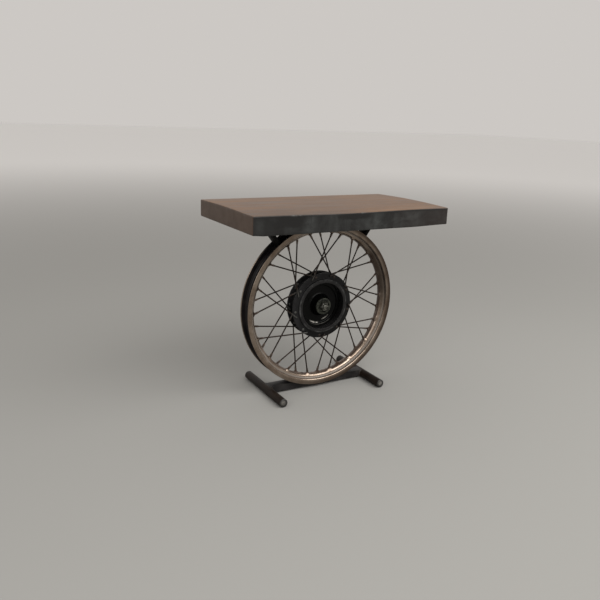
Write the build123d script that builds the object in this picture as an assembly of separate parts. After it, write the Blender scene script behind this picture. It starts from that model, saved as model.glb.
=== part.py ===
from build123d import *
import math
import os

# A side table made from a spoked wheel: a thick wooden top, steel struts, the laced wheel with
# its drum hub, and a welded tube base. Millimetres. X runs along the top, Y from front to back,
# Z up. The origin is on the floor under the middle of the top.

# Table top and what screws it down
top_length = 610
top_depth = 335
top_thickness = 46
top_height = 548
top_edge = 2
plate_width = 40
plate_length = 240
plate_thickness = 5
screw_spread = 190
screw_radius = 3.95
screw_bite = 35
screw_head_across = 13
screw_head_height = 5.5
screw_hole_radius = 4
screw_tip_room = 2
screw_sides = 12
plate_hole_radius = 4.3

# The wheel's place, and the rim's drop-centre section
wheel_x = -3
wheel_y = 5
wheel_height = 253
rim_radius = 242.2
seat_radius = 228.2
floor_radius = 215.5
rim_wall = 2
ledge_mitre = 1.6
floor_mitre = 0.8
floor_half_width = 8.5
ledge_half_width = 13.5
channel_half_width = 20.3
lip_half_width = 25.3
lip_spread = 1.8
lip_drop = 1.2
valve_radius = 4.2
valve_angle = 193.5

# Spokes
spoke_count = 36
spoke_radius = 2
first_spoke = -11.6
spoke_lean = 35
hole_stagger = 4
nipple_size = 5
nipple_length = 12
dimple_width = 14
dimple_top = 6
dimple_root = 3
dimple_height = 3.4

# Drum hub
flange_radius = 97.5
flange_middle = 17
flange_thickness = 5
spoke_circle = 90
outboard_reach = 3.8
inboard_reach = 3.0
barrel_radius = 80.7
mouth = 25
liner_outer = 75.5
liner_inner = 69
liner_depth = 21
step_radius = 59
recess_radius = 74
web_front = 1
web_back = 8
boss_radius = 24
boss_front = 28
boss_back = 30
bearing_outer = 17.5
bearing_width = 11
bearing_front = 25
bearing_back = 27
tunnel_radius = 13

# Spindle
spindle_radius = 7.5
spindle_front = 42
spindle_back = 44
running_gap = 0.05
end_float = 0.3
nut_across = 22
nut_height = 11

# Struts
strut_angles = {"strut_left": -37.3, "strut_right": 34.9}
strut_width = 35
strut_thickness = 10
strut_stock = 100
strut_weld_leg = 2.5

# Base
foot_radius = 12.5
foot_wall = 2
foot_left_x = -170.5
foot_right_x = 160.5
foot_front = -103
foot_back = 124
cap_dome = 3.5
cap_flat_radius = 8.75
bar_width = 30
bar_height = 20
bar_wall = 2
weld_leg = 3
foot_weld_leg = 4
foot_weld_inset = 2
rim_weld_length = 30


def turned(outline):
    """A body turned about the wheel's axle from (radius, distance along the axle) points."""
    return revolve(make_face(Polyline(outline, close=True)), Axis.Y)


def ring(inner, outer, front, back):
    return turned([(inner, front), (outer, front), (outer, back), (inner, back)])


def on_wheel(shape):
    """Moves a shape from the wheel's own frame, whose origin is the hub's centre."""
    return Pos(wheel_x, wheel_y, wheel_height) * shape


def round_bar(start, end, radius):
    """A round bar between two points."""
    along = Vector(end) - Vector(start)
    return extrude(Plane(origin=start, z_dir=along) * Circle(radius), along.length)


def polar(radius, angle, y):
    """A point of the wheel, with the angle taken clockwise from the top as seen from the front."""
    return Vector(radius * math.sin(math.radians(angle)), y, radius * math.cos(math.radians(angle)))


def underside():
    return top_height - top_thickness


def strut_top(name):
    """How far along X the strut meets its plate."""
    rise = underside() - plate_thickness - wheel_height
    return wheel_x + rise * math.tan(math.radians(strut_angles[name]))


def screw_places():
    return [
        (strut_top(name), wheel_y + side * screw_spread / 2)
        for name in strut_angles
        for side in (-1, 1)
    ]


def screw_prism(place, low, radius, length):
    """The shape of a screw's shank or hole. It has twelve sides, to keep a set of them light."""
    outline = RegularPolygon(radius, screw_sides, major_radius=False)
    return extrude(Pos(*place, low) * outline, length)


def table_top():
    slab = Pos(0, 0, top_height - top_thickness / 2) * Box(top_length, top_depth, top_thickness)
    slab = chamfer(slab.edges(), top_edge)
    depth = screw_bite - plate_thickness + screw_tip_room
    for place in screw_places():
        slab -= screw_prism(place, underside(), screw_hole_radius, depth)
    return slab


def top_plate(name):
    low = underside() - plate_thickness
    outline = Pos(strut_top(name), wheel_y, low) * Rectangle(plate_width, plate_length)
    plate = extrude(outline, plate_thickness)
    for place in screw_places():
        plate -= screw_prism(place, low, plate_hole_radius, plate_thickness)
    return plate


def coach_screws():
    below = underside() - plate_thickness
    screws = []
    for place in screw_places():
        hexagon = RegularPolygon(screw_head_across / 2, 6, major_radius=False)
        head = extrude(Pos(*place, below - screw_head_height) * hexagon, screw_head_height)
        screws.append(head + screw_prism(place, below, screw_radius, screw_bite))
    return Compound(screws)


def rim_outline():
    """The section of the drop-centre rim: a strip of even wall for one half, then its mirror."""
    half = [
        (floor_radius, floor_half_width),
        (seat_radius, ledge_half_width),
        (seat_radius, channel_half_width),
        (rim_radius, channel_half_width + lip_spread),
        (rim_radius - lip_drop, lip_half_width),
        (seat_radius - rim_wall, channel_half_width + rim_wall),
        (seat_radius - rim_wall, ledge_half_width + ledge_mitre),
        (floor_radius - rim_wall, floor_half_width + floor_mitre),
    ]
    return half + [(radius, -y) for radius, y in reversed(half)]


def spoke_run(number):
    """The rim point, the elbow and the flange face point of a spoke.

    Spokes come from the front and back flange in turn. Two lean one way, then two the other.
    """
    side = -1 if number % 2 == 0 else 1
    lean = 1 if number % 4 < 2 else -1
    outboard = side * lean > 0
    face = flange_middle + (flange_thickness / 2 if outboard else -flange_thickness / 2)
    bend = face + (outboard_reach if outboard else -inboard_reach)
    rim_angle = first_spoke + number * 360 / spoke_count
    hub_angle = rim_angle + lean * spoke_lean
    rim_point = polar(floor_radius - rim_wall / 2, rim_angle, side * hole_stagger)
    elbow = polar(spoke_circle, hub_angle, side * bend)
    seat = polar(spoke_circle, hub_angle, side * face)
    return rim_point, elbow, seat


def dimple(number):
    """The raised seat round a nipple, leaning as its spoke does. Four sides keep a set of them light."""
    rim_point, elbow, _ = spoke_run(number)
    along = (elbow - rim_point).normalized()
    edge = (dimple_width - dimple_top) / 2
    block = Wedge(
        dimple_width, dimple_height + dimple_root, dimple_width,
        edge, edge, dimple_width - edge, dimple_width - edge,
        align=(Align.CENTER, Align.MIN, Align.CENTER),
    )
    upright = Plane(origin=rim_point - along * dimple_root, x_dir=(0, 1, 0), z_dir=along)
    bump = upright * Rot(90, 0, 0) * block
    return bump & Rot(90, 0, 0) * Cylinder(floor_radius - rim_wall / 2, 2 * lip_half_width)


def rim():
    wheel_rim = turned(rim_outline())
    wheel_rim = wheel_rim.fuse(*[dimple(number) for number in range(spoke_count)])
    inside = polar(floor_radius - 2 * rim_wall, valve_angle, 0)
    outside = polar(floor_radius + rim_wall, valve_angle, 0)
    return on_wheel(wheel_rim - round_bar(inside, outside, valve_radius))


def spoke(number):
    """A bent spoke. It is six-sided, to keep a set of them light."""
    rim_point, elbow, seat = spoke_run(number)
    along = (elbow - rim_point).normalized()
    end = rim_point + along * (dimple_height + nipple_length)
    path = Polyline(seat, elbow, end)
    section = Plane(origin=seat, z_dir=elbow - seat) * RegularPolygon(spoke_radius, 6)
    return sweep(section, path, transition=Transition.RIGHT)


def nipple(number):
    rim_point, elbow, _ = spoke_run(number)
    along = (elbow - rim_point).normalized()
    start = Plane(origin=rim_point + along * dimple_height, x_dir=(0, 1, 0), z_dir=along)
    return extrude(start * Rectangle(nipple_size, nipple_size), nipple_length)


def spokes(first):
    """Every fourth spoke, which all leave one flange and lean one way."""
    return on_wheel(Compound([spoke(number) for number in range(first, spoke_count, 4)]))


def nipples(first):
    return on_wheel(Compound([nipple(number) for number in range(first, spoke_count, 2)]))


def hub_shell():
    front = flange_middle - flange_thickness / 2
    back = flange_middle + flange_thickness / 2
    liner_end = liner_depth - mouth
    body = turned([
        (liner_outer, -mouth),
        (barrel_radius, -mouth),
        (barrel_radius, -back),
        (flange_radius, -back),
        (flange_radius, -front),
        (barrel_radius, -front),
        (barrel_radius, front),
        (flange_radius, front),
        (flange_radius, back),
        (recess_radius, back),
        (recess_radius, web_back),
        (boss_radius, web_back),
        (boss_radius, boss_back),
        (bearing_outer, boss_back),
        (bearing_outer, bearing_back - bearing_width),
        (tunnel_radius, bearing_back - bearing_width),
        (tunnel_radius, bearing_width - bearing_front),
        (bearing_outer, bearing_width - bearing_front),
        (bearing_outer, -boss_front),
        (boss_radius, -boss_front),
        (boss_radius, web_front),
        (step_radius, web_front),
        (step_radius, liner_end),
        (liner_outer, liner_end),
    ])
    return on_wheel(body)


def brake_liner():
    return on_wheel(ring(liner_inner, liner_outer, -mouth, liner_depth - mouth))


def bearing(front):
    return ring(spindle_radius + running_gap, bearing_outer, front, front + bearing_width)


def bearings():
    """The two ball bearings, each as one ring, pressed into the hub from either side."""
    return on_wheel(Compound([bearing(-bearing_front), bearing(bearing_back - bearing_width)]))


def spindle():
    return on_wheel(round_bar((0, -spindle_front, 0), (0, spindle_back, 0), spindle_radius))


def spindle_nut(front):
    hexagon = RegularPolygon(nut_across / 2, 6, major_radius=False) - Circle(spindle_radius)
    return Pos(0, front + nut_height, 0) * Rot(90, 0, 0) * extrude(hexagon, nut_height)


def spindle_nuts():
    """The nuts stand clear of the bearings by the little end float that the spindle has."""
    front = -bearing_front - nut_height - end_float
    return on_wheel(Compound([spindle_nut(front), spindle_nut(bearing_back + end_float)]))


def strut(name):
    """A flat bar on the bead seat, cut level where it meets its plate."""
    bar = Box(strut_thickness, strut_width, strut_stock)
    leaning = on_wheel(Rot(0, strut_angles[name], 0) * Pos(0, 0, seat_radius + strut_stock / 2) * bar)
    below_plate = underside() - plate_thickness
    return leaning & Pos(0, 0, below_plate / 2) * Box(top_length, top_depth, below_plate)


def fillet_bead(length, leg):
    """A three-cornered bead along X. Its square corner is the origin, its legs run along +Y and +Z."""
    corner = Plane.YZ * Polyline((0, 0), (leg, 0), (0, leg), close=True)
    return extrude(make_face(corner), length / 2, both=True)


def strut_welds():
    """A short bead down each side of both strut feet, in the corner with the bead seat."""
    beads = []
    for angle in strut_angles.values():
        for turn in (0, 180):
            corner = Rot(0, angle, 0) * Rot(0, 0, turn) * Pos(0, strut_width / 2, seat_radius)
            beads.append(corner * fillet_bead(strut_thickness, strut_weld_leg))
    return on_wheel(Compound(beads))


def foot_tube(x):
    start = (x, foot_front, foot_radius)
    end = (x, foot_back, foot_radius)
    return round_bar(start, end, foot_radius) - round_bar(start, end, foot_radius - foot_wall)


def foot_cap(x, y, turn):
    """A domed cap welded over the tube's end."""
    outline = [(0, cap_dome), (cap_flat_radius, cap_dome), (foot_radius, 0), (0, 0)]
    return Pos(x, y, foot_radius) * Rot(0, 0, turn) * turned(outline)


def foot_caps():
    ends = [(foot_front, 180), (foot_back, 0)]
    return Compound([foot_cap(x, y, turn) for x in (foot_left_x, foot_right_x) for y, turn in ends])


def bar_middle():
    return wheel_height - seat_radius - bar_height / 2


def base_bar():
    """Box section between the feet, its ends coped to their curve."""
    length = foot_right_x - foot_left_x
    place = Pos((foot_right_x + foot_left_x) / 2, wheel_y, bar_middle())
    hollow = Box(length, bar_width - 2 * bar_wall, bar_height - 2 * bar_wall)
    bar = place * (Box(length, bar_width, bar_height) - hollow)
    for x in (foot_left_x, foot_right_x):
        bar -= round_bar((x, foot_front, foot_radius), (x, foot_back, foot_radius), foot_radius)
    return bar


def base_welds():
    """Upright beads in the four corners between the bar and the feet, cut to the feet's curve."""
    beads = []
    for x, inwards in ((foot_left_x, 1), (foot_right_x, -1)):
        tube = round_bar((x, foot_front, foot_radius), (x, foot_back, foot_radius), foot_radius)
        for side in (-1, 1):
            near = x + inwards * (foot_radius - foot_weld_leg / 2)
            far = x + inwards * (foot_radius + foot_weld_leg)
            face = wheel_y + side * bar_width / 2
            corner = Polyline((near, face), (far, face), (near, face + side * foot_weld_leg), close=True)
            low = Pos(0, 0, bar_middle() - bar_height / 2 + foot_weld_inset) * make_face(corner)
            beads.append(extrude(low, bar_height - 2 * foot_weld_inset, dir=(0, 0, 1)) - tube)
    return Compound(beads)


def rim_welds():
    """Beads under the rim's bead seats, down both sides of the bar that they sit on."""
    beads = []
    for turn in (0, 180):
        corner = Pos(0, bar_width / 2, -seat_radius) * Rot(-90, 0, 0)
        beads.append(Rot(0, 0, turn) * corner * fillet_bead(rim_weld_length, weld_leg))
    return on_wheel(Compound(beads))


nodes = {
    "table_top": table_top(),
    "top_plate_left": top_plate("strut_left"),
    "top_plate_right": top_plate("strut_right"),
    "coach_screws": coach_screws(),
    "strut_left": strut("strut_left"),
    "strut_right": strut("strut_right"),
    "strut_welds": strut_welds(),
    "rim": rim(),
    "spokes_front_inboard": spokes(0),
    "spokes_back_outboard": spokes(1),
    "spokes_front_outboard": spokes(2),
    "spokes_back_inboard": spokes(3),
    "nipples_front": nipples(0),
    "nipples_back": nipples(1),
    "hub_shell": hub_shell(),
    "brake_liner": brake_liner(),
    "hub_bearings": bearings(),
    "spindle": spindle(),
    "spindle_nuts": spindle_nuts(),
    "base_bar": base_bar(),
    "base_welds": base_welds(),
    "rim_welds": rim_welds(),
    "foot_left": foot_tube(foot_left_x),
    "foot_right": foot_tube(foot_right_x),
    "foot_caps": foot_caps(),
}

os.makedirs("parts", exist_ok=True)
for name, shape in nodes.items():
    export_step(shape, f"parts/{name}.step")
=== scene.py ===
import math

import bmesh
import bpy
from mathutils import Matrix, Vector, noise


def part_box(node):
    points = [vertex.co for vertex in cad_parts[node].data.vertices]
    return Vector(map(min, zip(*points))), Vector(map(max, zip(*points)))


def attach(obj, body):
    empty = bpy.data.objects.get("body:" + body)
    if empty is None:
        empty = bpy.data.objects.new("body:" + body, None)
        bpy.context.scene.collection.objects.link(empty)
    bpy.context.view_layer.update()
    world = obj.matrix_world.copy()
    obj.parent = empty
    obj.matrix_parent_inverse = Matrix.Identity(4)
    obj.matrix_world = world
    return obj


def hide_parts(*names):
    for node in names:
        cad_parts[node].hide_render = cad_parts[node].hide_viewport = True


# A side table made from a spoked wheel. Pieces are drawn in millimetres and scaled once.
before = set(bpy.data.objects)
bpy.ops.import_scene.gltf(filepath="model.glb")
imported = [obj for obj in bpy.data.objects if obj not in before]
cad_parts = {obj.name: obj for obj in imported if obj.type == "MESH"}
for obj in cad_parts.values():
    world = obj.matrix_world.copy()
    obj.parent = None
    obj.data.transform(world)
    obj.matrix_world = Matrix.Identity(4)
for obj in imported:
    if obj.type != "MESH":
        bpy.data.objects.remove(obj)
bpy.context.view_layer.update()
mm = 0.001
rimLow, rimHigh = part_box("rim")
wheelCentre = (rimLow + rimHigh) / 2
print("frame loaded, wheel centre", tuple(round(v, 4) for v in wheelCentre))


def newMaterial(name, **sockets):
    material = bpy.data.materials.new(name)
    material.use_nodes = True
    shader = material.node_tree.nodes["Principled BSDF"]
    for socket, value in sockets.items():
        shader.inputs[socket.replace("_", " ")].default_value = value
    return material


def addNode(material, kind, inputs=(), **settings):
    made = material.node_tree.nodes.new("ShaderNode" + kind)
    for key, value in settings.items():
        setattr(made, key, value)
    for socket, value in dict(inputs).items():
        if isinstance(value, bpy.types.NodeSocket):
            material.node_tree.links.new(value, made.inputs[socket])
        else:
            made.inputs[socket].default_value = value
    return made


def plug(material, output, socket):
    shader = material.node_tree.nodes["Principled BSDF"]
    material.node_tree.links.new(output, shader.inputs[socket])


def plainColour(material):
    # the output that feeds the base colour so far
    shader = material.node_tree.nodes["Principled BSDF"]
    return shader.inputs["Base Color"].links[0].from_socket


def place(material, scale=(1, 1, 1), location=(0, 0, 0)):
    coordinates = addNode(material, "TexCoord")
    inputs = {"Vector": coordinates.outputs["Object"], "Scale": scale, "Location": location}
    return addNode(material, "Mapping", inputs).outputs["Vector"]


def cloud(material, where, scale, detail, roughness=0.55, distortion=0):
    inputs = {"Vector": where, "Scale": scale, "Detail": detail, "Roughness": roughness,
              "Distortion": distortion}
    return addNode(material, "TexNoise", inputs).outputs["Fac"]


def spread(material, value, low, high, toLow=0, toHigh=1):
    inputs = {"Value": value, "From Min": low, "From Max": high, "To Min": toLow, "To Max": toHigh}
    return addNode(material, "MapRange", inputs, clamp=True).outputs["Result"]


def blendColours(material, amount, first, second):
    made = addNode(material, "Mix", data_type="RGBA", blend_type="MIX")
    for index, value in ((0, amount), (6, first), (7, second)):
        if isinstance(value, bpy.types.NodeSocket):
            material.node_tree.links.new(value, made.inputs[index])
        else:
            made.inputs[index].default_value = (*value, 1)
    return made.outputs[2]


def calc(material, kind, first, second=0.0):
    return addNode(material, "Math", {0: first, 1: second}, operation=kind).outputs[0]


def times(material, first, *others):
    for other in others:
        first = calc(material, "MULTIPLY", first, other)
    return first


def away(material, value, middle):
    # how far a value is from a middle one
    return calc(material, "ABSOLUTE", calc(material, "SUBTRACT", value, middle))


def bumps(material, height, distance, strength, before=None):
    inputs = {"Height": height, "Distance": distance, "Strength": strength}
    if before:
        inputs["Normal"] = before
    return addNode(material, "Bump", inputs).outputs["Normal"]


def facing(material, axis):
    # how far the surface faces along an axis, from -1 to 1
    normal = addNode(material, "NewGeometry").outputs["Normal"]
    return addNode(material, "SeparateXYZ", {"Vector": normal}).outputs[axis]


def position(material, axis):
    return addNode(material, "SeparateXYZ", {"Vector": place(material)}).outputs[axis]


def fromAxle(material):
    # distance from the wheel's axle, in metres
    where = addNode(material, "SeparateXYZ", {"Vector": place(material, location=-wheelCentre)})
    squares = [calc(material, "POWER", where.outputs[axis], 2.0) for axis in ("X", "Z")]
    return calc(material, "SQRT", calc(material, "ADD", *squares))


woodLook = {
    # top colours, lighter than the sides partly as a painted sheen of the varnish
    "topDark": (0.106, 0.053, 0.025),
    "topWorn": (0.205, 0.108, 0.052),
    "topDusty": (0.094, 0.055, 0.032),
    "topShade": (0.05, 0.039, 0.033),
    "endGrain": (0.074, 0.042, 0.0245),
    "frontDark": (0.0025, 0.0022, 0.002),
    "frontStreak": (0.036, 0.039, 0.038),
    "frontBrown": (0.026, 0.016, 0.013),
    "scuff": (0.11, 0.11, 0.105),
    "specular": 0.45,
    # noises: stretch along each axis, then scale, detail, roughness and distortion
    "noises": (
        ((2.2, 55, 55), 6, 8, 0.62, 0.3),  # fibre
        ((1.3, 12, 12), 2.2, 5, 0.6, 0.8),  # figure
        ((1, 1, 1), 7, 5, 0.6),  # patches
        ((60, 8, 7), 1, 5, 0.7, 0.6),  # streaks
        ((11, 8, 14), 1, 5, 0.62, 1.2),  # smears
        ((4, 13, 13), 2.2, 6, 0.66, 0.6),  # mottle
        ((1, 1, 1), 38, 5),  # specks
    ),
    "figureShare": 0.65,
    # ranges: from low and high, and to low and high where that isn't 0 to 1
    "worn": (0.4, 0.58),
    "patched": (0.42, 0.7, 0, 0.55),
    "dusty": (0.42, 0.62, 0, 0.45),
    "shadeFront": (-0.06, -0.16),
    "shadeLeft": (0.08, -0.16),
    "shadeBreak": (0.35, 0.6, 1, 0.5),
    "blotched": (0.4, 0.68, 0, 0.75),
    "streaked": (0.5, 0.78, 0, 0.55),
    "ragged": (0.32, 0.6, 0.25, 1),
    "rightward": (-0.32, 0.1, 0.3, 1),
    "browner": (0.08, 0.3),
    "arris": (0.541, 0.546, 0, 0.8),
    "endTone": (0.35, 0.65, 0, 0.4),
    "endFacing": (0.5, 0.8),
    "topFacing": (0.5, 0.85),
    "scuffed": (0.62, 0.72),
    "roughness": (0.35, 0.7, 0.34, 0.52),
    # bumps: depth in metres and strength
    "fibreBump": (0.0005, 0.5),
    "streakBump": (0.0006, 0.3),
    # smeared places along the front: middle across and up, half width and height, lighter or darker
    "smears": (
        (-0.286, 0.527, 0.011, 0.02, 0.22),
        (-0.2, 0.536, 0.034, 0.016, -0.7),
        (-0.146, 0.525, 0.02, 0.024, 0.75),
        (-0.01, 0.541, 0.055, 0.01, -0.8),
        (0.12, 0.52, 0.09, 0.02, 0.35),
        (0.235, 0.532, 0.045, 0.02, -0.35),
    ),
    # where a smear starts to fade across and up, and ends, in shares of its half size
    "smearFade": (0.3, 0.4, 1.3),
}


def makeWood():
    look = woodLook
    wood = newMaterial("black_stained_wood", Specular_IOR_Level=look["specular"])
    fibre, figure, patches, streaks, smears, mottle, specks = (
        cloud(wood, place(wood, stretch), *rest) for stretch, *rest in look["noises"])
    tone = calc(wood, "ADD", times(wood, fibre, 1 - look["figureShare"]),
                times(wood, figure, look["figureShare"]))
    # the top: worn brown along the figure, dusty in places and shaded at the front left, and as a whole much
    # lighter than the sides, partly a painted sheen
    shade = times(wood, spread(wood, position(wood, "Y"), *look["shadeFront"]),
                  spread(wood, position(wood, "X"), *look["shadeLeft"]),
                  spread(wood, figure, *look["shadeBreak"]))
    top = blendColours(wood, spread(wood, tone, *look["worn"]), look["topDark"], look["topWorn"])
    top = blendColours(wood, spread(wood, patches, *look["patched"]), top, look["topDark"])
    top = blendColours(wood, spread(wood, mottle, *look["dusty"]), top, look["topDusty"])
    top = blendColours(wood, shade, top, look["topShade"])
    # the front and back: nearly black, with light streaks, smears and a dark upper edge
    blotch = calc(wood, "ADD", spread(wood, smears, *look["blotched"]),
                  spread(wood, streaks, *look["streaked"]))
    blotch = times(wood, blotch, spread(wood, position(wood, "X"), *look["rightward"]))
    ragged = spread(wood, smears, *look["ragged"])
    fadeAcross, fadeUp, fadeEnd = look["smearFade"]
    for across, up, halfWidth, halfHeight, amount in look["smears"]:
        offX = away(wood, position(wood, "X"), across)
        offZ = away(wood, position(wood, "Z"), up)
        patch = times(wood, spread(wood, offX, halfWidth * fadeAcross, halfWidth * fadeEnd, 1, 0),
                      spread(wood, offZ, halfHeight * fadeUp, halfHeight * fadeEnd, 1, 0),
                      times(wood, ragged, amount))
        blotch = calc(wood, "ADD", blotch, patch)
    browner = times(wood, spread(wood, position(wood, "X"), *look["browner"]), patches)
    arris = spread(wood, position(wood, "Z"), *look["arris"])
    sides = blendColours(wood, spread(wood, blotch, 0, 1), look["frontDark"], look["frontStreak"])
    sides = blendColours(wood, browner, sides, look["frontBrown"])
    sides = blendColours(wood, arris, sides, look["frontDark"])
    ends = blendColours(wood, spread(wood, tone, *look["endTone"]), look["endGrain"], look["frontBrown"])
    ended = spread(wood, calc(wood, "ABSOLUTE", facing(wood, "X")), *look["endFacing"])
    colour = blendColours(wood, ended, sides, ends)
    # faces turned up take the top colours: partly wear, partly a painted sheen
    colour = blendColours(wood, spread(wood, facing(wood, "Z"), *look["topFacing"]), colour, top)
    wear = addNode(wood, "Attribute", attribute_name="wear").outputs["Fac"]
    scuffs = times(wood, wear, spread(wood, specks, *look["scuffed"]))
    plug(wood, blendColours(wood, scuffs, colour, look["scuff"]), "Base Color")
    plug(wood, spread(wood, tone, *look["roughness"]), "Roughness")
    fibreBumps = bumps(wood, fibre, *look["fibreBump"])
    plug(wood, bumps(wood, streaks, *look["streakBump"], fibreBumps), "Normal")
    return wood


# paints: colour, dust, roughness and specular level
paintLooks = {
    "black_steel_paint": ((0.0085, 0.0055, 0.004), (0.02, 0.013, 0.009), 0.42, 0.15),
    "bar_grey_black": ((0.013, 0.012, 0.0125), (0.034, 0.032, 0.031), 0.42, 0.2),
    # near black: painted shade for the struts and top plates, which lie in shadow under the top
    "strut_black_painted_shade": ((0.002, 0.0018, 0.0017), (0.006, 0.005, 0.0045), 0.5, 0.08),
    "hub_black_paint": ((0.0025, 0.0025, 0.0027), (0.008, 0.008, 0.0085), 0.36, 0.2),
    "cap_paint_worn_and_highlight": ((0.01, 0.009, 0.008), (0.03, 0.027, 0.024), 0.3, 0.5),
    "channel_black": ((0.005, 0.004, 0.005), (0.016, 0.012, 0.011), 0.34, 0.3),
    "weld_black": ((0.012, 0.01, 0.008), (0.035, 0.028, 0.024), 0.32, 0.45),
}
paintValues = {
    "dustNoise": (22, 5, 0.6),
    "fineNoise": (420, 4, 0.6),
    "dusty": (0.46, 0.72),
    "roughnessFrom": (0.3, 0.7),
    "roughnessSteps": (-0.06, 0.12),
    "bump": (0.0003, 0.35),
}


def makePaint(name):
    values = paintValues
    colour, dust, roughness, specular = paintLooks[name]
    paint = newMaterial(name, Specular_IOR_Level=specular)
    broad = cloud(paint, place(paint), *values["dustNoise"])
    fine = cloud(paint, place(paint), *values["fineNoise"])
    limits = [roughness + step for step in values["roughnessSteps"]]
    plug(paint, blendColours(paint, spread(paint, broad, *values["dusty"]), colour, dust), "Base Color")
    plug(paint, spread(paint, broad, *values["roughnessFrom"], *limits), "Roughness")
    plug(paint, bumps(paint, fine, *values["bump"]), "Normal")
    return paint


# metals: clean, tarnish, metallic, roughness, scale of patches and of specks, range of the tarnish
metalLooks = {
    "spoke_rust": ((0.03, 0.019, 0.013), (0.014, 0.008, 0.006), 0.6, (0.35, 0.6), 60, 900, (0.4, 0.65)),
    "rim_aged_nickel": ((0.37, 0.305, 0.25), (0.165, 0.119, 0.088), 1, (0.12, 0.25), 24, 480, (0.4, 0.65)),
    "nipple_tarnish": ((0.12, 0.092, 0.074), (0.03, 0.018, 0.013), 0.8, (0.3, 0.5), 90, 900, (0.4, 0.65)),
    "liner_iron": ((0.026, 0.025, 0.026), (0.01, 0.0095, 0.0095), 0.6, (0.22, 0.36), 40, 700, (0.4, 0.65)),
    "boss_grey_alloy": ((0.05, 0.054, 0.042), (0.006, 0.0066, 0.005), 0.6, (0.3, 0.5), 150, 800,
                        (0.44, 0.56)),
    "nut_zinc": ((0.2, 0.2, 0.175), (0.012, 0.013, 0.01), 0.8, (0.24, 0.42), 230, 900, (0.45, 0.55)),
}
metalValues = {
    "patchNoise": (6, 0.62),
    "speckNoise": (4, 0.6),
    "speckPlace": (2, 5, 1),
    "patchShare": 0.75,
    "roughnessFrom": (0.35, 0.65),
    "bump": (0.00012, 0.5),
}


def makeMetal(name):
    values = metalValues
    clean, tarnish, metallic, roughness, patchScale, speckScale, tarnished = metalLooks[name]
    metal = newMaterial(name, Metallic=metallic)
    broad = cloud(metal, place(metal), patchScale, *values["patchNoise"])
    speck = cloud(metal, place(metal, location=values["speckPlace"]), speckScale, *values["speckNoise"])
    tone = calc(metal, "ADD", times(metal, broad, values["patchShare"]),
                times(metal, speck, 1 - values["patchShare"]))
    plug(metal, blendColours(metal, spread(metal, tone, *tarnished), clean, tarnish), "Base Color")
    plug(metal, spread(metal, tone, *values["roughnessFrom"], *roughness), "Roughness")
    plug(metal, bumps(metal, speck, *values["bump"]), "Normal")
    return metal


spokeLook = {"nearHub": (0.075, 0.075, 0.07), "hubReach": (0.094, 0.108), "rubbedAndHighlight": (-0.03, -0.055, 0.12, 1)}


def makeSpokeSteel():
    # rusty wire, greyer on the left where it lies on the hub: partly rubbed, partly a painted highlight
    look = spokeLook
    wire = makeMetal("spoke_rust")
    # greyer near the hub on the left: a painted highlight, with rubbing
    rubbedAndHighlight = times(wire, spread(wire, position(wire, "X"), *look["rubbedAndHighlight"]),
                   spread(wire, fromAxle(wire), *look["hubReach"], 1, 0))
    plug(wire, blendColours(wire, rubbedAndHighlight, plainColour(wire), look["nearHub"]), "Base Color")
    return wire


drumLook = {
    "black": (0.0015, 0.0015, 0.0015),
    "bareAndHighlight": (0.42, 0.41, 0.38),
    "specular": 0.1,
    "low": (0.02, 0.03),
    "bareAndHighlightNoise": (90, 4),
    "bareAndHighlightBreak": (0.3, 0.5),
    "oilNoise": (120, 4),
    "roughness": (0.3, 0.7, 0.14, 0.3),
    # bare places low in the drum, where highlights fall, partly a painted highlight: middle and half length
    # across, radius, half width and how bare
    "bareAndHighlightSpots": (
        (-0.014, 0.016, 0.0556, 0.0024, 1),
        (0.0225, 0.0115, 0.0497, 0.0019, 1),
        (0.004, 0.036, 0.0605, 0.0011, 0.3),
    ),
    # where a bare place starts to fade along and across it, in shares of its half size
    "bareAndHighlightFade": (0.6, 0.5),
}


def makeDrumBlack():
    # black inside the drum, bare metal along three arcs low on the ring round the web: partly rubbed, partly
    # a painted highlight
    look = drumLook
    black = newMaterial("drum_oiled_black", Specular_IOR_Level=look["specular"])
    radius = fromAxle(black)
    below = calc(black, "SUBTRACT", wheelCentre.z, position(black, "Z"))
    fadeAlong, fadeAcross = look["bareAndHighlightFade"]
    rubbedAndHighlight = 0.0
    for middle, length, ring, width, share in look["bareAndHighlightSpots"]:
        along = away(black, position(black, "X"), wheelCentre.x + middle)
        spot = times(black, spread(black, along, length * fadeAlong, length, 1, 0),
                     spread(black, away(black, radius, ring), width * fadeAcross, width, 1, 0), share)
        rubbedAndHighlight = calc(black, "ADD", rubbedAndHighlight, spot)
    # kept below the axle, where the highlights fall: painted highlight
    rubbedAndHighlight = times(black, rubbedAndHighlight, spread(black, below, *look["low"]),
                   spread(black, cloud(black, place(black), *look["bareAndHighlightNoise"]), *look["bareAndHighlightBreak"]))
    oil = cloud(black, place(black), *look["oilNoise"])
    plug(black, blendColours(black, rubbedAndHighlight, look["black"], look["bareAndHighlight"]), "Base Color")
    plug(black, rubbedAndHighlight, "Metallic")
    plug(black, spread(black, oil, *look["roughness"]), "Roughness")
    return black


rimLook = {
    "rust": (0.075, 0.05, 0.038),
    # painted shade, for the well at the upper right
    "rightShade": (0.03, 0.022, 0.018),
    "dust": (0.2, 0.17, 0.145),
    # painted shade, for the flank towards the lip and to the right
    "flankShade": (0.075, 0.054, 0.041),
    # distances in metres: from the rim's middle plane, from the axle, or right of and above it
    "wellWidth": (0.0068, 0.009),
    "wellNoise": (70, 5),
    "wellBreak": (0.3, 0.5, 0.55, 1),
    "ledgeWidth": (0.0172, 0.0192),
    "ledgeRadius": (0.2215, 0.2235),
    "flankShadeRadius": (0.227, 0.237),
    "flankShadeAcross": (-0.2, 0.08, 0.1, 0.9),
    "rightShadeAcross": (0.1, 0.17),
    "rightShadeUp": (-0.05, 0.03),
    "rightShadeRadius": (0.227, 0.23, 0.8, 0),
    "wellDull": 0.7,
    "ledgeDull": 0.8,
}


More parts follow.
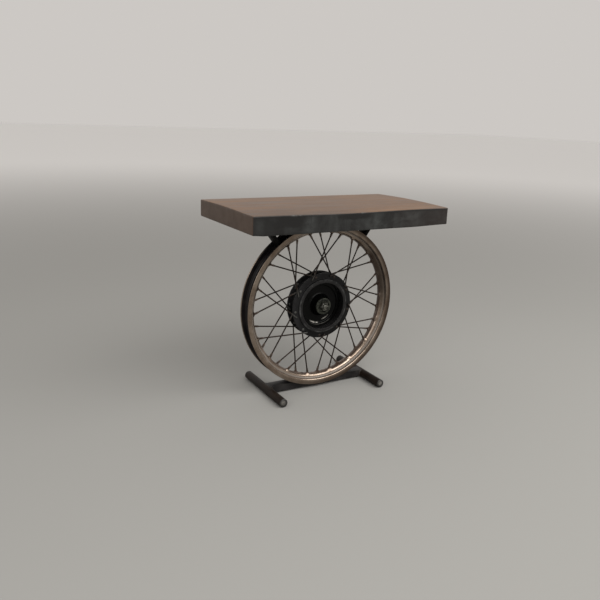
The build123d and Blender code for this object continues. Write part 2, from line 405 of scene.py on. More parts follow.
def makeRimSteel():
    # aged plating: rust in the well and dust on the ledge, with painted shade on the flank towards the lip
    # and on the well at the upper right
    look = rimLook
    steel = makeMetal("rim_aged_nickel")
    radius = fromAxle(steel)
    side = away(steel, position(steel, "Y"), wheelCentre.y)
    above = calc(steel, "SUBTRACT", position(steel, "Z"), wheelCentre.z)
    well = times(steel, spread(steel, side, *look["wellWidth"], 1, 0),
                 spread(steel, cloud(steel, place(steel), *look["wellNoise"]), *look["wellBreak"]))
    # painted shade: darker on the flank towards the lip, more to the right
    flankShade = times(steel, spread(steel, radius, *look["flankShadeRadius"]),
                  spread(steel, position(steel, "X"), *look["flankShadeAcross"]))
    # painted shade: darker in the well at the upper right
    rightShade = times(steel, spread(steel, position(steel, "X"), *look["rightShadeAcross"]),
                 spread(steel, above, *look["rightShadeUp"]), spread(steel, radius, *look["rightShadeRadius"]))
    ledge = times(steel, spread(steel, side, *look["ledgeWidth"], 1, 0),
                  spread(steel, radius, *look["ledgeRadius"]), calc(steel, "SUBTRACT", 1.0, rightShade))
    colour = plainColour(steel)
    for amount, over in ((flankShade, "flankShade"), (rightShade, "rightShade"), (well, "rust"), (ledge, "dust")):
        colour = blendColours(steel, amount, colour, look[over])
    plug(steel, colour, "Base Color")
    dull = calc(steel, "ADD", times(steel, well, look["wellDull"]), times(steel, ledge, look["ledgeDull"]))
    plug(steel, calc(steel, "SUBTRACT", 1.0, dull), "Metallic")
    return steel


hubLook = {
    "leftPaler": (0.018, 0.018, 0.019),
    "palerAcross": (-0.045, -0.1),
    "dustNoise": (45, 5, 0.62),
    "palerBreak": (0.35, 0.6, 0.35, 1),
    "lipRubAndHighlight": (0.06, 0.06, 0.06),
    "lipInner": (0.0742, 0.0752),
    "lipOuter": (0.079, 0.0805),
    "lipDepth": (0.0225, 0.0245),
    "lipBreak": (0.42, 0.62, 0.15, 1),
}


def makeHubPaint():
    # black paint, paler towards the left, and grey round the drum's lip, partly rubbed and partly a painted
    # highlight
    look = hubLook
    paint = makePaint("hub_black_paint")
    patch = cloud(paint, place(paint), *look["dustNoise"])
    radius = fromAxle(paint)
    forward = calc(paint, "SUBTRACT", wheelCentre.y, position(paint, "Y"))
    # paler towards the left, in patches
    dusty = times(paint, spread(paint, position(paint, "X"), *look["palerAcross"]),
                  spread(paint, patch, *look["palerBreak"]))
    # grey ring round the drum's lip: partly rubbed paint, partly a painted highlight
    lipRubAndHighlight = times(paint, spread(paint, radius, *look["lipInner"]),
                spread(paint, radius, *look["lipOuter"], 1, 0),
                spread(paint, forward, *look["lipDepth"]), spread(paint, patch, *look["lipBreak"]))
    colour = blendColours(paint, dusty, plainColour(paint), look["leftPaler"])
    plug(paint, blendColours(paint, lipRubAndHighlight, colour, look["lipRubAndHighlight"]), "Base Color")
    return paint


capLook = {
    # bare metal colour, where a painted highlight falls on each cap
    "bareAndHighlight": (0.33, 0.315, 0.29),
    "bareAndHighlightNoise": (110, 5),
    "bareAndHighlightBreak": (0.36, 0.56, 0.3, 1),
    "metallic": 0.8,
}


def makeCapPaint():
    # black paint worn to the metal on the bulge of each cap, up and to the left: partly wear, partly a
    # painted highlight
    look = capLook
    cap = makePaint("cap_paint_worn_and_highlight")
    bareAndHighlight = times(cap, addNode(cap, "Attribute", attribute_name="bareAndHighlight").outputs["Fac"],
                 spread(cap, cloud(cap, place(cap), *look["bareAndHighlightNoise"]), *look["bareAndHighlightBreak"]))
    plug(cap, blendColours(cap, bareAndHighlight, plainColour(cap), look["bareAndHighlight"]), "Base Color")
    plug(cap, times(cap, bareAndHighlight, look["metallic"]), "Metallic")
    return cap


wood = makeWood()
blackSteel = makePaint("black_steel_paint")
barPaint = makePaint("bar_grey_black")
strutShadedBlack = makePaint("strut_black_painted_shade")
capSteel = makeCapPaint()
hubPaint = makeHubPaint()
drumBlack = makeDrumBlack()
channelBlack = makePaint("channel_black")
rimSteel = makeRimSteel()
spokeRust = makeSpokeSteel()
nippleSteel = makeMetal("nipple_tarnish")
linerIron = makeMetal("liner_iron")
bossAlloy = makeMetal("boss_grey_alloy")
nutSteel = makeMetal("nut_zinc")
weldSteel = makePaint("weld_black")
print("materials made")


# lengths in metres and angles in degrees
meshValues = {"mergeWithin": 1e-6, "cutWithin": 0.0001, "angle": 35, "flatAngle": 1, "easedAngle": 32}


def addToScene(name, data):
    made = bpy.data.objects.new(name, data)
    bpy.context.scene.collection.objects.link(made)
    return made


def addMesh(name, bm):
    mesh = bpy.data.meshes.new(name)
    bm.to_mesh(mesh)
    bm.free()
    return addToScene(name, mesh)


def finishPiece(name, bm, nodes, materials, body="table", angle=meshValues["angle"]):
    bmesh.ops.remove_doubles(bm, verts=bm.verts, dist=meshValues["mergeWithin"])
    bmesh.ops.recalc_face_normals(bm, faces=bm.faces)
    piece = addMesh(name, bm)
    piece.data.shade_smooth()
    piece.data.set_sharp_from_angle(angle=math.radians(angle))
    for material in materials:
        piece.data.materials.append(material)
    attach(piece, body)
    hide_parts(*nodes)
    return piece


def toTable(bm, centre=wheelCentre, verts=None):
    # from millimetres round a centre to metres in the table's frame
    matrix = Matrix.Translation(centre) @ Matrix.Scale(mm, 4)
    bmesh.ops.transform(bm, matrix=matrix, verts=verts or bm.verts)


def cutAcross(bm, point, normal):
    geometry = bm.verts[:] + bm.edges[:] + bm.faces[:]
    bmesh.ops.bisect_plane(bm, geom=geometry, dist=meshValues["cutWithin"], plane_co=point, plane_no=normal)


def edgesOf(verts):
    return list({edge for vert in verts for edge in vert.link_edges})


def easeEdges(bm, edges, rounding, segments):
    bmesh.ops.bevel(bm, geom=edges, offset=rounding, segments=segments, affect="EDGES", profile=0.5,
                    clamp_overlap=True, material=-1)


def flatBall(bm, middle, turn, radius, flatness, steps):
    matrix = Matrix.LocRotScale(middle, turn, Vector((1, 1, flatness)))
    bmesh.ops.create_uvsphere(bm, u_segments=steps[0], v_segments=steps[1], radius=radius, matrix=matrix)


def mirrored(half, start, stop, middle=()):
    # an outline whose second half is its first half seen from the other end
    back = [(radius, start + stop - along, rounding) for radius, along, rounding in reversed(half)]
    return [*half, *middle, *back]


def turned(outline, steps, closed=True, arcSteps=3, bm=None):
    # outline: (radius, distance along the axle, corner rounding), spun about the axle
    bm = bm or bmesh.new()
    corners = [bm.verts.new((radius, along, 0)) for radius, along, _ in outline]
    for pair in zip(corners, corners[1:]):
        bm.edges.new(pair)
    if closed:
        bm.edges.new((corners[-1], corners[0]))
    before = set(bm.verts) - set(corners)
    for corner, (_, _, rounding) in zip(corners, outline):
        if rounding:
            bmesh.ops.bevel(bm, geom=[corner], offset=rounding, offset_type="OFFSET", segments=arcSteps,
                            profile=0.5, affect="VERTICES", clamp_overlap=True, material=-1)
    loop = [vert for vert in bm.verts if vert not in before]
    wires = [edge for edge in bm.edges if edge.is_wire]
    bmesh.ops.spin(bm, geom=loop + wires, cent=(0, 0, 0), axis=(0, 1, 0), angle=math.tau,
                   steps=steps, use_merge=True)
    return bm


def sweepTube(bm, path, radii, sides=12):
    # a round bar along a path, with its ends closed; radii is one per point
    steps = [(after - before).normalized() for before, after in zip(path, path[1:])]
    headings = [steps[0]] + [(a + b).normalized() for a, b in zip(steps, steps[1:])] + [steps[-1]]
    matrix = Matrix.LocRotScale(path[0], headings[0].to_track_quat("Z", "Y"), None)
    circle = bmesh.ops.create_circle(bm, cap_ends=True, segments=sides, radius=radii[0], matrix=matrix)
    edges = edgesOf(circle["verts"])
    for index in range(1, len(path)):
        geometry = bmesh.ops.extrude_edge_only(bm, edges=edges)["geom"]
        ring = [item for item in geometry if isinstance(item, bmesh.types.BMVert)]
        edges = [edge for edge in geometry if isinstance(edge, bmesh.types.BMEdge) and
                 all(vert in ring for vert in edge.verts)]
        turn = headings[index - 1].rotation_difference(headings[index]).to_matrix().to_4x4()
        size = Matrix.Scale(radii[index] / radii[index - 1], 4)
        move = Matrix.Translation(path[index]) @ turn @ size @ Matrix.Translation(-path[index - 1])
        bmesh.ops.transform(bm, matrix=move, verts=ring)
    bmesh.ops.edgeloop_fill(bm, edges=edges)


def softened(name, slotName, material, rounding, segments=2):
    # the same piece with its sharp edges eased
    bm = bmesh.new()
    bm.from_mesh(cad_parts[name].data)
    bmesh.ops.remove_doubles(bm, verts=bm.verts, dist=meshValues["mergeWithin"])
    flat, eased = math.radians(meshValues["flatAngle"]), math.radians(meshValues["easedAngle"])
    bmesh.ops.dissolve_limit(bm, angle_limit=flat, verts=bm.verts, edges=bm.edges)
    sharp = [edge for edge in bm.edges if edge.calc_face_angle(0) > eased]
    easeEdges(bm, sharp, rounding, segments)
    finishPiece(name + "_eased", bm, [name], [material])


def smoothStep(value):
    value = min(max(value, 0), 1)
    return value * value * (3 - 2 * value)


topValues = {
    "edgeRound": 2.2,
    "edgeSteps": 3,
    "cell": 9,
    "wearWidth": 5,
    "knock": 0.8,
    "knockSpacing": 23,
    "knockFrom": 0.12,
    "crown": 3.0,
    "rightBow": 4.0,
    "leftSkew": 3.0,
    "belly": 2.4,
    "bellyEnds": (35, 130),
    "edgeWave": 1.2,
    "waveLength": 500,
    "waveStart": -290,
    # from where the front's waves grow, and over how much, in shares of half the width
    "frontFrom": 0.7,
    "frontBlend": 0.3,
}


def handSawn(point, half):
    # the plank isn't true: crowned across, bowed at the right end, wavy along the front
    values = topValues
    u, v, w = (point[axis] / half[axis] for axis in range(3))
    over, under = max(w, 0), max(-w, 0)
    nearFront = smoothStep((-v - values["frontFrom"]) / values["frontBlend"])
    fromEnds = min((1 + u) * half[0] / values["bellyEnds"][0], (1 - u) * half[0] / values["bellyEnds"][1])
    wave = math.cos(math.tau * (point.x - values["waveStart"]) / values["waveLength"])
    lift = over * (values["crown"] * (1 - v * v) + values["edgeWave"] * wave * nearFront)
    drop = under * values["belly"] * smoothStep(fromEnds) * nearFront
    bow = values["rightBow"] * (1 - v * v) * max(u, 0) ** 3
    skew = values["leftSkew"] * (v + 1) / 2 * max(-u, 0) ** 3
    return Vector((bow - skew, 0, lift - drop))


def makeTop():
    values = topValues
    low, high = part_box("table_top")
    middle, size = (low + high) / 2 / mm, (high - low) / mm
    bm = bmesh.new()
    bmesh.ops.create_cube(bm, size=1, matrix=Matrix.Diagonal((*size, 1)))
    easeEdges(bm, bm.edges[:], values["edgeRound"], values["edgeSteps"])
    for axis in range(3):
        half = size[axis] / 2
        cuts = max(2, round(size[axis] / values["cell"]))
        places = [-half + size[axis] * step / cuts for step in range(1, cuts)]
        places += [-half + values["wearWidth"], half - values["wearWidth"]]
        normal = Vector([float(axis == other) for other in range(3)])
        for distance in places:
            cutAcross(bm, normal * distance, normal)
    wear = bm.verts.layers.float.new("wear")
    for vert in bm.verts:
        # the second smallest depth below the faces is the distance to an edge
        edgeDistance = sorted(size[axis] / 2 - abs(vert.co[axis]) for axis in range(3))[1]
        vert[wear] = smoothStep(1 - edgeDistance / values["wearWidth"])
        knocked = max(0, noise.noise(vert.co / values["knockSpacing"]) - values["knockFrom"])
        dent = knocked * values["knock"] * vert[wear]
        vert.co += handSawn(vert.co, size / 2) - vert.co.normalized() * dent
    toTable(bm, middle * mm)
    finishPiece("wooden_top", bm, ["table_top"], [wood])


makeTop()
print("table top made")


wheelValues = {
    "spokeCount": 36,
    "firstSpoke": -11.6,
    "spokeLean": 35,
    "holeStagger": 4,
    "spokeCircle": 90,
    "flangeMiddle": 17,
    "flangeWidth": 5,
    "outboardReach": 3.8,
    "inboardReach": 3.0,
    "floorRadius": 215.5,
    "rimWall": 2,
    "seatHeight": 3.4,
}


def polar(radius, angle, along):
    turn = math.radians(angle)
    return Vector((radius * math.sin(turn), along, radius * math.cos(turn)))


def spokeRun(number):
    # a spoke's rim point, its elbow, the flange face it leaves and where its head sits
    values = wheelValues
    side = -1 if number % 2 == 0 else 1
    lean = 1 if number % 4 < 2 else -1
    half = values["flangeWidth"] / 2 * side * lean
    face = values["flangeMiddle"] + half
    bend = face + (values["outboardReach"] if half > 0 else -values["inboardReach"])
    rimAngle = values["firstSpoke"] + number * 360 / values["spokeCount"]
    hubAngle = rimAngle + lean * values["spokeLean"]
    rimPoint = polar(values["floorRadius"] - values["rimWall"] / 2, rimAngle, side * values["holeStagger"])
    elbow = polar(values["spokeCircle"], hubAngle, side * bend)
    seat = polar(values["spokeCircle"], hubAngle, side * face)
    head = polar(values["spokeCircle"], hubAngle, side * (values["flangeMiddle"] - half))
    return rimPoint, elbow, seat, head


runs = [spokeRun(number) for number in range(wheelValues["spokeCount"])]

rimValues = {
    "steps": 720,
    "arcSteps": 5,
    "angle": 45,
    "mergeWithin": 1e-4,
    # half of the section, from the well's outside round the lip to its inside
    "half": [
        (215.5, 8.5, 5.5), (228.2, 13.5, 3), (228.2, 20.3, 1.6), (240.2, 21.6, 1.4),
        (242.2, 23.2, 1.6), (241.6, 25.3, 0.9), (238.4, 24.6, 2.2), (226.2, 22.6, 4.8), (226.2, 15.1, 3.2),
        (213.5, 9.3, 8.5),
    ],
    # where the well is cut across, so that the seats have points to move
    "cuts": (-7, -6, -4.5, -3, -1.5, 0, 1.5, 3, 4.5, 6, 7, 11, -11),
    "dimpleRadius": 8.6,
    "dimpleSlope": 1.25,
    "dimplesWithin": 221,
    "valveAngle": 193.5,
    "valveRadius": 4.2,
    "valveDepth": 12,
    "valveSides": 32,
    # the tyre's side: facing outwards within a radius, or towards the middle plane within one
    "floorSide": (0.25, 229),
    "wallSide": (0.5, 240.5),
}


def isTyreSide(face):
    # the faces that a tyre would cover
    centre = face.calc_center_median()
    radius = math.hypot(centre.x, centre.z)
    outwards = Vector((centre.x, 0, centre.z)).normalized().dot(face.normal)
    inwards = -face.normal.y * math.copysign(1, centre.y)
    floorFacing, floorRadius = rimValues["floorSide"]
    wallFacing, wallRadius = rimValues["wallSide"]
    onFloor = outwards > floorFacing and radius < floorRadius
    return onFloor or (inwards > wallFacing and radius < wallRadius)


def pressDimples(bm):
    # each nipple's seat is pressed towards the hub, along its spoke
    values = rimValues
    count = wheelValues["spokeCount"]
    for vert in bm.verts:
        radius = math.hypot(vert.co.x, vert.co.z)
        if radius > values["dimplesWithin"]:
            continue
        angle = math.degrees(math.atan2(vert.co.x, vert.co.z)) - wheelValues["firstSpoke"]
        nearest = round(angle * count / 360)
        for number in (nearest - 1, nearest, nearest + 1):
            rimPoint, elbow, _, _ = runs[number % count]
            along = (elbow - rimPoint).normalized()
            offset = vert.co - rimPoint
            across = (offset - along * offset.dot(along)).length
            rise = smoothStep(values["dimpleSlope"] * (1 - across / values["dimpleRadius"]))
            vert.co += along * rise * wheelValues["seatHeight"]


def drillValve(rim):
    values = rimValues
    drill = bmesh.new()
    middle = polar(wheelValues["floorRadius"], values["valveAngle"], 0)
    matrix = Matrix.LocRotScale(middle, middle.to_track_quat("Z", "Y"), None)
    bmesh.ops.create_cone(drill, cap_ends=True, segments=values["valveSides"], radius1=values["valveRadius"],
                          radius2=values["valveRadius"], depth=values["valveDepth"], matrix=matrix)
    toTable(drill)
    cutter = addMesh("valve_cutter", drill)
    hole = rim.modifiers.new("valve hole", "BOOLEAN")
    hole.object = cutter
    hole.operation = "DIFFERENCE"
    hole.solver = "EXACT"
    depsgraph = bpy.context.evaluated_depsgraph_get()
    cut = bpy.data.meshes.new_from_object(rim.evaluated_get(depsgraph))
    rim.modifiers.clear()
    rim.data = cut
    bpy.data.objects.remove(cutter)


def makeRim():
    values = rimValues
    bm = turned(mirrored(values["half"], 0, 0), values["steps"], arcSteps=values["arcSteps"])
    for along in values["cuts"]:
        cutAcross(bm, (0, along, 0), (0, 1, 0))
    bmesh.ops.remove_doubles(bm, verts=bm.verts, dist=values["mergeWithin"])
    pressDimples(bm)
    bmesh.ops.recalc_face_normals(bm, faces=bm.faces)
    for face in bm.faces:
        face.material_index = 1 if isTyreSide(face) else 0
    toTable(bm)
    rim = finishPiece("wheel_rim", bm, ["rim"], [rimSteel, channelBlack],
                      angle=values["angle"])
    drillValve(rim)


makeRim()
print("rim made")

nippleValues = {
    "flat": 5.0,
    "flatLength": 8,
    "flatRound": 0.6,
    "length": 12.5,
    "sunk": 0.5,
    "neckRadius": 2.9,
    "tipRadius": 2.5,
    "neckSides": 14,
    "overlap": 0.5,
    "head": 4.4,
    "headSunk": 2.4,
    "headFlat": 0.55,
    "headSteps": (12, 6),
}
spokeValues = {
    "radius": 2.0,
    "bendBefore": 3.2,
    "bendAfter": 2.6,
    "bendShares": (0, 0.2, 0.4, 0.6, 0.8, 1),
    "intoNipple": 3,
    "head": 4.0,
    "headFlat": 0.475,
    "headSteps": (14, 8),
}


def makeSpoke(bm, number):
    values = spokeValues
    rimPoint, elbow, seat, head = runs[number]
    toRim = (rimPoint - elbow).normalized()
    toSeat = (seat - elbow).normalized()
    start, stop = elbow + toRim * values["bendBefore"], elbow + toSeat * values["bendAfter"]
    curve = [start.lerp(elbow, share).lerp(elbow.lerp(stop, share), share) for share in values["bendShares"]]
    cover = wheelValues["seatHeight"] + nippleValues["length"] - values["intoNipple"]
    wheelEnd = rimPoint - toRim * cover
    path = [wheelEnd, wheelEnd.lerp(start, 0.5)] + curve + [head]
    sweepTube(bm, path, [values["radius"]] * len(path))
    turn = (head - seat).to_track_quat("Z", "Y")
    flatBall(bm, head, turn, values["head"], values["headFlat"], values["headSteps"])


def makeNipple(bm, number):
    values = nippleValues
    rimPoint, elbow, _, _ = runs[number]
    along = (elbow - rimPoint).normalized()
    across = (Vector((0, 1, 0)) - along * along.y).normalized()
    turn = Matrix((across, along.cross(across), along)).transposed().to_quaternion()
    foot = rimPoint + along * (wheelValues["seatHeight"] - values["sunk"])
    shank = foot + along * values["flatLength"] / 2
    size = Vector((values["flat"], values["flat"], values["flatLength"]))
    cube = bmesh.ops.create_cube(bm, size=1, matrix=Matrix.LocRotScale(shank, turn, size))["verts"]
    easeEdges(bm, edgesOf(cube), values["flatRound"], 2)
    neckLength = values["length"] - values["flatLength"] + 2 * values["overlap"]
    neck = foot + along * (values["flatLength"] + neckLength / 2 - values["overlap"])
    bmesh.ops.create_cone(bm, cap_ends=True, segments=values["neckSides"], radius1=values["neckRadius"],
                          radius2=values["tipRadius"], depth=neckLength,
                          matrix=Matrix.LocRotScale(neck, turn, None))
    headPlace = rimPoint + along * (wheelValues["seatHeight"] - values["headSunk"])
    flatBall(bm, headPlace, turn, values["head"], values["headFlat"], values["headSteps"])


def makeSet(name, node, makeOne, numbers, material):
    bm = bmesh.new()
    for number in numbers:
        makeOne(bm, number)
    toTable(bm)
    finishPiece(name, bm, [node], [material])


count = wheelValues["spokeCount"]
spokeNodes = ["spokes_front_inboard", "spokes_back_outboard", "spokes_front_outboard", "spokes_back_inboard"]
for first, node in enumerate(spokeNodes):
    makeSet("bent_" + node, node, makeSpoke, range(first, count, 4), spokeRust)
for first, node in enumerate(["nipples_front", "nipples_back"]):
    makeSet("turned_" + node, node, makeNipple, range(first, count, 2), nippleSteel)
print("spokes and nipples made")


hubValues = {
    "steps": 192,
    "arcSteps": 4,
    "angle": 50,
    # drum lip, barrel and flanges, then the back recess, the bearing bore, the boss and the drum inside
    "outline": [
        (75.5, -25, 0.4), (79.4, -25, 1.2), (80.7, -23, 0.8), (80.7, -19.5, 1.8), (97.5, -19.5, 1.6),
        (97.5, -14.5, 1.6), (80.7, -14.5, 3), (80.7, 14.5, 3), (97.5, 14.5, 1.6), (97.5, 19.5, 1.6),
        (76, 19.5, 1.5), (74, 8, 4), (30, 8, 3), (25, 14, 3), (24, 30, 1.2), (17.5, 30, 0.5),
        (17.5, 16, 0), (13, 16, 0), (13, -14, 0), (17.5, -14, 0), (17.5, -28, 0.5), (24, -28, 2),
        (25, -23.5, 0), (26.5, -12, 3), (31, 1, 6), (59, 1, 4.4), (59, -4, 0.5), (75.5, -4, 0.3),
    ],
    # radius, and how far along the axle the bare boss and the black drum reach
    "boss": (26, -23),
    "drum": (75.4, 1.5),
}


def makeHub():
    values = hubValues
    bm = turned(values["outline"], values["steps"], arcSteps=values["arcSteps"])
    bmesh.ops.recalc_face_normals(bm, faces=bm.faces)
    bossRadius, bossReach = values["boss"]
    drumRadius, drumReach = values["drum"]
    for face in bm.faces:
        centre = face.calc_center_median()
        radius = math.hypot(centre.x, centre.z)
        if radius < bossRadius and centre.y < bossReach:
            face.material_index = 2
        elif radius < drumRadius and centre.y < drumReach:
            face.material_index = 1
    toTable(bm)
    finishPiece("drum_hub", bm, ["hub_shell"], [hubPaint, drumBlack, bossAlloy],
                angle=values["angle"])


linerValues = {
    "outline": [
        (69.6, -25, 0.5), (75.5, -25, 0.4), (75.5, -4, 0.2), (69, -4, 0.3),
        (69.3, -8, 0.6), (68.9, -10, 0.6), (69.1, -19, 0.5), (68.8, -22, 0.5),
    ],
}


def makeLiner():
    bm = turned(linerValues["outline"], hubValues["steps"])
    toTable(bm)
    finishPiece("drum_liner", bm, ["brake_liner"], [linerIron])


bearingValues = {
    "steps": 64,
    "width": 11,
    "starts": (-25, 16),
    # half of the section: radius, depth below the face, corner rounding
    "half": [(7.55, 0, 0.3), (10.4, 0, 0.2), (10.4, 0.5, 0), (14.8, 0.5, 0), (14.8, 0, 0.2), (17.5, 0, 0.5)],
}


def makeBearings():
    values = bearingValues
    bm = bmesh.new()
    for start in values["starts"]:
        half = [(radius, start + depth, rounding) for radius, depth, rounding in values["half"]]
        turned(mirrored(half, start, start + values["width"]), values["steps"], arcSteps=2, bm=bm)
    toTable(bm)
    finishPiece("wheel_bearings", bm, ["hub_bearings"], [bossAlloy])


spindleValues = {
    "radius": 7.5,
    "steps": 48,
    "angle": 30,
    "front": -42,
    "back": 44,
    "threadPitch": 1.5,
    "threadDepth": 0.8,
    "threadInset": 1,
    "threadEnds": (-26, 28),
    "plain": (-25.5, 27.5),
    "endChamfer": 1.4,
    "endRound": 0.3,
    "centreHole": (2, 1.2),
}


def threadOutline(start, stop):
    # ridges along a threaded stretch
    values = spindleValues
    count = round(abs(stop - start) / values["threadPitch"])
    step = (stop - start) / count
    points = []
    for turn in range(count):
        points.append((values["radius"] - values["threadDepth"], start + step * turn, 0))
        points.append((values["radius"], start + step * (turn + 0.5), 0))
    return points


def makeSpindle():
    values = spindleValues
    radius, front, back = values["radius"], values["front"], values["back"]
    end, rounding, inset = radius - values["endChamfer"], values["endRound"], values["threadInset"]
    holeRadius, holeDepth = values["centreHole"]
    frontThread, backThread = values["threadEnds"]
    outline = [(0, front + holeDepth, 0), (holeRadius, front, 0), (end, front, rounding)]
    outline += threadOutline(front + inset, frontThread)
    outline += [(radius, along, 0) for along in values["plain"]]
    outline += reversed(threadOutline(back - inset, backThread))
    outline += [(end, back, rounding), (holeRadius, back, 0), (0, back - holeDepth, 0)]
    bm = turned(outline, values["steps"], closed=False, arcSteps=2)
    toTable(bm)
    finishPiece("hub_spindle", bm, ["spindle"], [nutSteel], "spindle", values["angle"])


nutValues = {
    "across": 22,
    "height": 11,
    "starts": (-36.3, 27.3),
    "steps": 96,
    "chamfer": (2.4, 1.6),
    "bore": 7.5,
    "boreChamfer": (0.9, 0.8),
    "angle": 30,
}


def makeNuts():
    values = nutValues
    bm = bmesh.new()
    bore, flatHalf = values["bore"], values["across"] / 2
    corner = values["across"] / math.sqrt(3)
    chamferIn, chamferDown = values["chamfer"]
    boreOut, boreDown = values["boreChamfer"]
    for start in values["starts"]:
        stop = start + values["height"]
        half = [(bore, start + boreDown, 0), (bore + boreOut, start, 0)]
        half += [(corner - chamferIn, start, 0), (corner, start + chamferDown, 0)]
        turned(mirrored(half, start, stop, [(corner, (start + stop) / 2, 0)]), values["steps"], bm=bm)
    for vert in bm.verts:
        # the round outside is drawn in to six flats
        radius = math.hypot(vert.co.x, vert.co.z)
        angle = math.atan2(vert.co.z, vert.co.x) % (math.pi / 3) - math.pi / 6
        flat = flatHalf / math.cos(angle)
        if radius > flat:
            vert.co.x *= flat / radius
            vert.co.z *= flat / radius
    toTable(bm)
    finishPiece("spindle_nut_pair", bm, ["spindle_nuts"], [nutSteel], "spindle",
                values["angle"])


makeHub()
makeLiner()
makeBearings()
makeSpindle()
makeNuts()
print("hub made")


# pieces whose edges are eased: node, slot, material, rounding in metres and steps
easedPieces = (
    # the struts and top plates take the darker black of painted shade
    ("top_plate_left", "black_steel", strutShadedBlack, 0.0008),
    ("top_plate_right", "black_steel", strutShadedBlack, 0.0008),
    ("strut_left", "black_steel", strutShadedBlack, 0.0009),
    ("strut_right", "black_steel", strutShadedBlack, 0.0009),
    ("coach_screws", "zinc_steel", nutSteel, 0.0003),
    ("base_bar", "black_steel", barPaint, 0.0012, 3),
)
for piece in easedPieces:
    softened(*piece)

footValues = {
    "radius": 12.5,
    "wall": 2,
    "steps": 64,
    "boreRound": 0.3,
    "edgeRound": 0.35,
    # radius and height of the domed cap's outline
    "dome": ((0, 3.6), (3.5, 3.4), (6.6, 2.8), (9.2, 1.95), (11.2, 1), (12.2, 0.35), (12.5, 0)),
    # a bare patch on each cap's dome, shifted up and to the left: partly worn paint, partly a painted
    # highlight
    "bareAndHighlightRadius": 8.5,
    "bareAndHighlightShift": (-2, 2.5),
    "bareAndHighlightSlope": 1.4,
}


def makeFeet():
    values = footValues
    radius, bore = values["radius"], values["radius"] - values["wall"]
    caps = bmesh.new()
    bareAndHighlight = caps.verts.layers.float.new("bareAndHighlight")
    for node in ("foot_left", "foot_right"):
        low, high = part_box(node)
        centre = Vector(((low.x + high.x) / 2, 0, (low.z + high.z) / 2))
        front, back = low.y / mm, high.y / mm
        outline = [(bore, front, values["boreRound"]), (radius, front, values["edgeRound"]),
                   (radius, back, values["edgeRound"]), (bore, back, values["boreRound"])]
        tube = turned(outline, values["steps"])
        toTable(tube, centre)
        finishPiece(node + "_tube", tube, [node], [blackSteel])
        for end, outwards in ((front, -1), (back, 1)):
            outline = [(across, end + outwards * height, 0) for across, height in values["dome"]]
            outline.append((0, end, 0))
            before = set(caps.verts)
            turned(outline, values["steps"], closed=False, bm=caps)
            made = [vert for vert in caps.verts if vert not in before]
            # how bare each cap point is, round a point up and to the left of the axis: partly worn paint,
            # partly a painted highlight
            for vert in made:
                off = math.hypot(vert.co.x - values["bareAndHighlightShift"][0], vert.co.z - values["bareAndHighlightShift"][1])
                vert[bareAndHighlight] = smoothStep(values["bareAndHighlightSlope"] * (1 - off / values["bareAndHighlightRadius"]))
            toTable(caps, centre, made)
    finishPiece("foot_end_caps", caps, ["foot_caps"], [capSteel])


weldValues = {
    "stepLength": 0.75,
    "ripple": 0.09,
    "rippleRate": 2.4,
    "uneven": 0.16,
    "unevenLength": 3,
    "endShare": 0.45,
    "endFade": 6,
    # beads round the foot tubes
    "footRadius": 2.3,
    "footRipple": 0.1,
    "footRippleRate": 2.2,
    "footSteps": 14,
    "footOut": 0.6,
    "faceOut": 0.4,
    "barInset": 1,
    # beads between the rim and the bar
    "rimRadius": 1.9,
    "rimHalf": 14,
    "rimSide": 15.6,
    "rimUp": -228.4,
    # beads under the struts
    "strutRadius": 1.8,
    "strutAngles": (-37.3, 34.9),
    "strutRing": 228.6,
    "strutSide": 17.9,
    "strutHalf": 5,
}


def weldBead(bm, start, stop, radius, seed):
    # a rippled bead, as the torch moves on in small steps
    values = weldValues
    length = (stop - start).length
    count = max(4, round(length / values["stepLength"]))
    path, radii = [], []
    for index in range(count + 1):
        share = index / count
        along = share * length / values["unevenLength"]
        ripple = 1 + values["ripple"] * math.sin(index * values["rippleRate"])
        ripple += values["uneven"] * noise.noise(Vector((seed, along, 0)))
        fade = smoothStep(min(share, 1 - share) * values["endFade"])
        path.append(start.lerp(stop, share))
        radii.append(radius * ripple * (values["endShare"] + (1 - values["endShare"]) * fade))
    sweepTube(bm, path, radii)


def makeFootWelds():
    values = weldValues
    welds = bmesh.new()
    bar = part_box("base_bar")
    radius, steps = footValues["radius"], values["footSteps"]
    barLow, barHigh = bar[0].z / mm + values["barInset"], bar[1].z / mm - values["barInset"]
    radii = [values["footRadius"] * (1 + values["footRipple"] * math.sin(step * values["footRippleRate"]))
             for step in range(steps + 1)]
    for node, inwards in (("foot_left", 1), ("foot_right", -1)):
        low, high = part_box(node)
        footX = (low.x + high.x) / 2 / mm
        for face, side in ((bar[0].y / mm, -1), (bar[1].y / mm, 1)):
            path = []
            for step in range(steps + 1):
                height = barLow + (barHigh - barLow) * step / steps
                reach = math.sqrt(max(radius ** 2 - (height - radius) ** 2, 1)) + values["footOut"]
                path.append(Vector((footX + inwards * reach, face + side * values["faceOut"], height)))
            sweepTube(welds, path, radii)
    bmesh.ops.scale(welds, vec=(mm, mm, mm), verts=welds.verts)
    finishPiece("foot_weld_beads", welds, ["base_welds"], [weldSteel])


def makeRimWelds():
    values = weldValues
    welds = bmesh.new()
    for side in (-1, 1):
        start = Vector((-values["rimHalf"], side * values["rimSide"], values["rimUp"]))
        weldBead(welds, start, Vector((values["rimHalf"], start.y, start.z)), values["rimRadius"], side)
    toTable(welds)
    finishPiece("rim_weld_beads", welds, ["rim_welds"], [weldSteel])


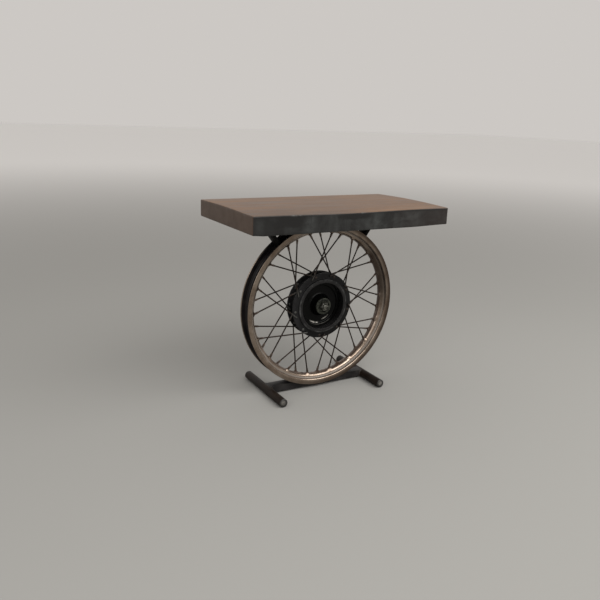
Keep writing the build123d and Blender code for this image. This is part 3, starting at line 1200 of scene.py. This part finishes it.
def makeStrutWelds():
    values = weldValues
    welds = bmesh.new()
    for angle in values["strutAngles"]:
        for side in (-1, 1):
            middle = polar(values["strutRing"], angle, side * values["strutSide"])
            across = polar(values["strutHalf"], angle + 90, 0)
            weldBead(welds, middle - across, middle + across, values["strutRadius"], angle + side)
    toTable(welds)
    finishPiece("strut_weld_beads", welds, ["strut_welds"], [weldSteel])


makeFeet()
makeFootWelds()
makeRimWelds()
makeStrutWelds()
print("struts and base made")


studio = {
    "backdrop": (0.605, 0.578, 0.552),
    "floor": (0.35, 0.349, 0.336),
    "farFloor": (0.95, 0.948, 0.94),
    "farFrom": (1.2, 9),
    "floorSize": 30,
    "floorRoughness": 0.85,
    "floorSpecular": 0.2,
}
# lamps: place, what they point at, size, power and colour
lamps = {
    "key": ((0.7, -2.0, 2.55), (0, 0, 0.25), (4.4, 1.7), 84, (1, 0.98, 0.95)),
    "side": ((-2.7, -1.5, 1.7), (0, 0, 0.3), (1.4, 1.4), 11, (1, 1, 1)),
}
cameraValues = {
    "place": (-0.97202, -1.55614, 0.78525),
    "yaw": 30.08,
    "pitch": 15.88,
    "roll": -2.19,
    "lens": 38.98,
    "sensor": 36,
}


def makeFloor():
    bm = bmesh.new()
    bmesh.ops.create_grid(bm, x_segments=1, y_segments=1, size=studio["floorSize"])
    floor = addMesh("floor", bm)
    pale = newMaterial("pale_floor", Roughness=studio["floorRoughness"],
                       Specular_IOR_Level=studio["floorSpecular"])
    # paler far away, so that the floor runs evenly into the backdrop
    distance = addNode(pale, "VectorMath", {0: place(pale)}, operation="LENGTH").outputs["Value"]
    limits = {"Value": distance, "From Min": studio["farFrom"][0], "From Max": studio["farFrom"][1]}
    far = addNode(pale, "MapRange", limits, interpolation_type="SMOOTHSTEP").outputs["Result"]
    plug(pale, blendColours(pale, far, studio["floor"], studio["farFloor"]), "Base Color")
    floor.data.materials.append(pale)


def makeWorld():
    world = bpy.data.worlds.new("studio")
    bpy.context.scene.world = world
    world.use_nodes = True
    world.node_tree.nodes["Background"].inputs["Color"].default_value = (*studio["backdrop"], 1)


def makeLamp(name, location, target, size, power, colour):
    light = bpy.data.lights.new(name, "AREA")
    light.shape = "RECTANGLE"
    light.size, light.size_y = size
    light.energy = power
    light.color = colour
    lamp = addToScene(name, light)
    lamp.location = location
    lamp.rotation_mode = "QUATERNION"
    lamp.rotation_quaternion = (Vector(target) - Vector(location)).to_track_quat("-Z", "Y")


def makeCamera():
    values = cameraValues
    yaw, pitch, roll = (math.radians(values[key]) for key in ("yaw", "pitch", "roll"))
    forward = Vector((math.sin(yaw) * math.cos(pitch), math.cos(yaw) * math.cos(pitch), -math.sin(pitch)))
    level = Vector((math.cos(yaw), -math.sin(yaw), 0))
    down = forward.cross(level)
    right = math.cos(roll) * level + math.sin(roll) * down
    low = -math.sin(roll) * level + math.cos(roll) * down
    data = bpy.data.cameras.new("camera")
    data.sensor_width = values["sensor"]
    data.lens = values["lens"]
    camera = addToScene("camera", data)
    turn = Matrix((right, -low, -forward)).transposed().to_4x4()
    camera.matrix_world = Matrix.Translation(values["place"]) @ turn
    bpy.context.scene.camera = camera


makeFloor()
makeWorld()
for name, values in lamps.items():
    makeLamp(name, *values)
makeCamera()
bpy.context.scene.view_settings.view_transform = "Standard"
print("studio made")
